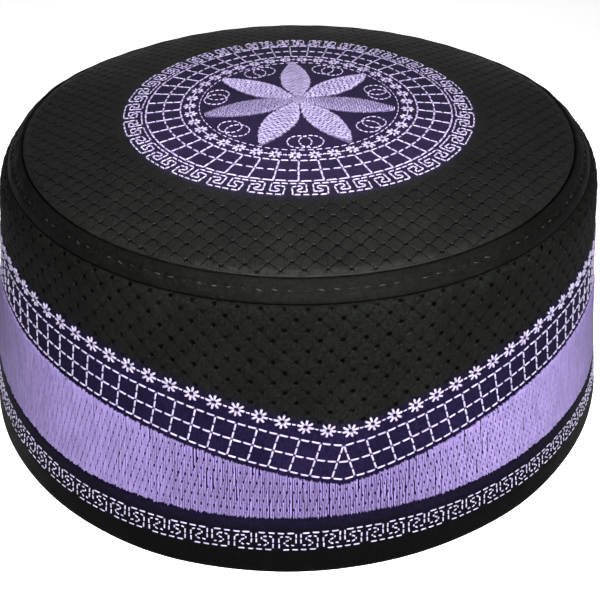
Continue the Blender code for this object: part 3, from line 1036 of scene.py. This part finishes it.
onBand, onRing = (onWall, wallScale), (onMedallion, arcScale)
sewBright("hemKey", (onHem, wallScale), hemKeyStitches(), wallThread, 0.25)
sewBright("waveGrid", onBand, waveGridStitches(), wallThread)
petals, links = flowerStitches(flowers["wave"], wallScale, aboveGrid)
sewBright("waveFlowers", onBand, jitter(petals, 0.06, 1.5), wallThread, 0.34, 0.45)
sewBright("waveFlowerLinks", onBand, jitter(links, 0.03, 1.5), wallThread, 0.22)
petals, links = flowerStitches(flowers["crown"], arcScale, lambda az: flowers["crownRadius"])
sewBright("medallionFlowers", onRing, jitter(petals, 0.05, 0.53), width=0.36)
sewBright("medallionFlowerLinks", onRing, jitter(links, 0.03, 0.53), width=0.22)
sewBright("medallionGrid", onRing, medallionGridStitches(), width=0.3)
sewBright("medallionKey", onRing, medallionKeyStitches(), width=0.26)
sewBright("medallionRing", onRing, ringDash(medallion["thinRing"], 78, 0.76), width=0.2, height=0.3)
sewBright("medallionLoops", (onMedallionFlat, flatScale), loopStitches(), width=0.24, height=0.34)
print("running stitches made")


# rosette

rosette = {
    "petals": 7, "firstPetal": -21.5, "length": 27.3, "halfWidth": 4.4, "narrowing": 0.8,
    "rootWidth": (0.43, 0.1), "padLength": 0.975, "padWidth": 0.94, "padDepth": 0.25,
    "relief": 0.5, "overhang": 0.15,
    "firstRow": 2.5, "plainEnds": 2.9, "rowPitch": 0.45, "stitch": 2.7, "shortest": 0.7, "gap": 0.05,
    "width": 0.21, "height": 0.38, "lift": 0.1, "centre": 3.1, "paintedSheen": 0.65, "paintedCentreShade": 0.15,
}
petalTurns = [radians(rosette["firstPetal"] + 360.0 / rosette["petals"] * petal)
              for petal in range(rosette["petals"])]


def petalHalfWidth(along):
    slope, least = rosette["rootWidth"]
    swell = np.sin(pi * np.clip(along / rosette["length"], 0.0, 1.0)) ** rosette["narrowing"]
    return np.minimum(rosette["halfWidth"] * swell, slope * along + least)


def makePetalPads():
    body = bmesh.new()
    for turn in petalTurns:
        outward, across = outwardAcross(turn)
        for vert in bmesh.ops.create_uvsphere(body, u_segments=16, v_segments=22, radius=1.0)["verts"]:
            along = rosette["length"] * (0.5 + 0.5 * vert.co.z) * rosette["padLength"]
            wide = rosette["padWidth"] * float(petalHalfWidth(along))
            ring = max((vert.co.x ** 2 + vert.co.y ** 2) ** 0.5, 1e-6)
            side, up = vert.co.x / ring * wide, vert.co.y / ring
            tall = rosette["relief"] * min(ring * 2.0, 1.0) if up > 0 else rosette["padDepth"]
            vert.co = (*(outward * along + across * side), up * tall)
    bmesh.ops.recalc_face_normals(body, faces=body.faces[:])
    mesh = makeMesh("rosettePads", body)
    at = getPoints(mesh)
    setPoints(mesh, onMedallionFlat(at[:, 0], at[:, 1], at[:, 2]))
    # a little of the threads' painted root shade, all over the padding
    addMask(mesh, "root", 0.4 + 0.0 * at[:, 0])
    addMask(mesh, "tone", 1.0 + 0.0 * at[:, 0])
    addUv(mesh, "strand", at[:, :2])
    pads = finishPiece("rosettePads", mesh, padThread)
    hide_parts("crown_rosette")


def onPetals(x, y, lift=0.0):
    # the crown raised by whichever petal's padding is highest there
    high = np.zeros_like(x)
    for turn in petalTurns:
        along, across = x * sin(turn) - y * cos(turn), x * cos(turn) + y * sin(turn)
        wide = np.maximum(petalHalfWidth(along) + rosette["overhang"], 0.2)
        share = np.clip(1.0 - (across / wide) ** 2, 0.0, 1.0) * (along > 0)
        high = np.maximum(high, rosette["relief"] * np.sqrt(share))
    return onMedallionFlat(x, y, high + lift)


def petalRuns():
    stitch, shortest, gap, runs = rosette["stitch"], rosette["shortest"], rosette["gap"], []
    for turn in petalTurns:
        outward, across = outwardAcross(turn)
        for row in range(int((rosette["length"] - rosette["plainEnds"]) / rosette["rowPitch"])):
            along = rosette["firstRow"] + rosette["rowPitch"] * row
            wide = float(petalHalfWidth(along)) + 0.1
            start, end = [side * (wide + dice.normal(0.0, 0.12)) for side in (-1, 1)]
            first = stitch * (0.5 * (row % 2) + 0.25 * ((row // 2) % 2))
            cuts = [first + stitch * k for k in range(-4, 4)]
            cuts = [start] + [cut for cut in cuts if start + shortest < cut < end - shortest] + [end]
            for left, right in zip(cuts[:-1], cuts[1:]):
                spots = [outward * along + across * reach for reach in (left + gap, right - gap)]
                runs.append((*spots[0], *spots[1]))
    # threads laid across the middle, from the root of one petal to the root of the next but two
    for turn in np.radians(np.arange(0.0, 180.0, 15.0)):
        for offset in (-0.6, 0.0, 0.6):
            middle = np.array((-sin(turn), cos(turn))) * offset
            reach = np.array((cos(turn), sin(turn))) * rosette["centre"] * dice.uniform(0.8, 1.0)
            runs.append((*(middle - reach), *(middle + reach)))
    return jitter(runs, 0.03)


def makePetalThreads():
    runs = petalRuns()
    # painted sheen: threads that run from front to back are painted brighter, and painted shade darkens those
    # laid thick in the middle
    way = np.arctan2(runs[:, 3] - runs[:, 1], runs[:, 2] - runs[:, 0])
    central = np.hypot(runs[:, 0] + runs[:, 2], runs[:, 1] + runs[:, 3]) < 3.0
    shade = 1.0 + rosette["paintedSheen"] * np.sin(way) ** 2 * ~central - rosette["paintedCentreShade"] * central
    mesh = sewThreads("rosetteThreads", (onPetals, flatScale), runs, fineStitch,
                      rosette["width"], rosette["height"], rosette["lift"], tone=0.16, shade=shade)
    finishPiece("rosetteThreads", mesh, petalThread)


makePetalPads()
makePetalThreads()
print("rosette made")


# floor, lights and camera

studio = {
    "floor": (0.94, 0.94, 0.94, 1.0), "floorSize": 4.0, "floorGlow": 0.45, "white": (1.0, 1.0, 1.0, 1.0),
    "horizon": 0.4, "overhead": 0.028, "skyFade": (0.03, 0.28),
    "cameraPlace": (0.00034, -0.2130, 0.1855), "cameraPitch": 51.54, "lens": 49.36,
    "cameraReach": (0.01, 20.0),
}
# name, place and aim in metres, size, power, spread in degrees
studioLights = (
    ("backLight", (0.0, 1.1, 2.2), (0.0, 0.0, 0.05), 0.5, 9.4, 180.0),
    ("topLight", (0.02, -0.16, 0.30), (0.0, -0.06, 0.085), 0.16, 0.25, 80.0),
    ("frontLight", (0.06, -0.32, 0.20), (0.0, -0.09, 0.05), 0.22, 0.26, 80.0),
)


def makeFloor():
    body = bmesh.new()
    bmesh.ops.create_circle(body, cap_ends=True, segments=96, radius=studio["floorSize"])
    mesh = makeMesh("floor", body)
    look, tree, shader = newMaterial("paleFloor", {
        "Base Color": studio["floor"], "Roughness": 0.9, "Specular IOR Level": 0.1,
        "Emission Color": studio["white"], "Emission Strength": studio["floorGlow"]})
    speckle = addNode(tree, "ShaderNodeTexNoise", {"Scale": 40.0, "Detail": 2.0}).outputs["Fac"]
    tree.links.new(mapRange(tree, speckle, 0.0, 1.0, 0.86, 0.94), shader.inputs["Roughness"])
    mesh.materials.append(look)
    floor = addObject("floor", mesh)


def makeLights():
    for name, place, aim, size, power, spread in studioLights:
        lamp = bpy.data.lights.new(name, "AREA")
        lamp.shape, lamp.size, lamp.energy, lamp.spread = "DISK", size, power, radians(spread)
        light = addObject(name, lamp)
        light.location = place
        light.rotation_euler = (Vector(aim) - Vector(place)).to_track_quat("-Z", "Y").to_euler()
    # pale at the horizon, dark overhead so that the black cloth keeps its black
    world = bpy.data.worlds.new("paleRoom")
    world.use_nodes = True
    sky = world.node_tree
    background = sky.nodes["Background"].inputs
    background["Color"].default_value = studio["white"]
    way = addNode(sky, "ShaderNodeTexCoord").outputs["Generated"]
    height = addNode(sky, "ShaderNodeSeparateXYZ", {0: way}).outputs["Z"]
    strength = mapRange(sky, height, *studio["skyFade"], studio["horizon"], studio["overhead"], "SMOOTHSTEP")
    sky.links.new(strength, background["Strength"])
    bpy.context.scene.world = world


def makeCamera():
    scene = bpy.context.scene
    lens = bpy.data.cameras.new("photoCamera")
    lens.lens, lens.sensor_width = studio["lens"], 36.0
    lens.clip_start, lens.clip_end = studio["cameraReach"]
    camera = addObject("photoCamera", lens)
    camera.location = studio["cameraPlace"]
    camera.rotation_euler = (radians(studio["cameraPitch"]), 0.0, 0.0)
    scene.camera = camera
    scene.view_settings.view_transform = "Standard"
    scene.view_settings.look = "High Contrast"  # the photo has crushed blacks and a burnt-out ground


makeFloor()
makeLights()
makeCamera()
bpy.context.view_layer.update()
shown = [piece for piece in bpy.data.objects if piece.type == "MESH" and not piece.hide_render]
triangles = sum(len(polygon.vertices) - 2 for piece in shown for polygon in piece.data.polygons)
print("studio made;", triangles, "triangles")
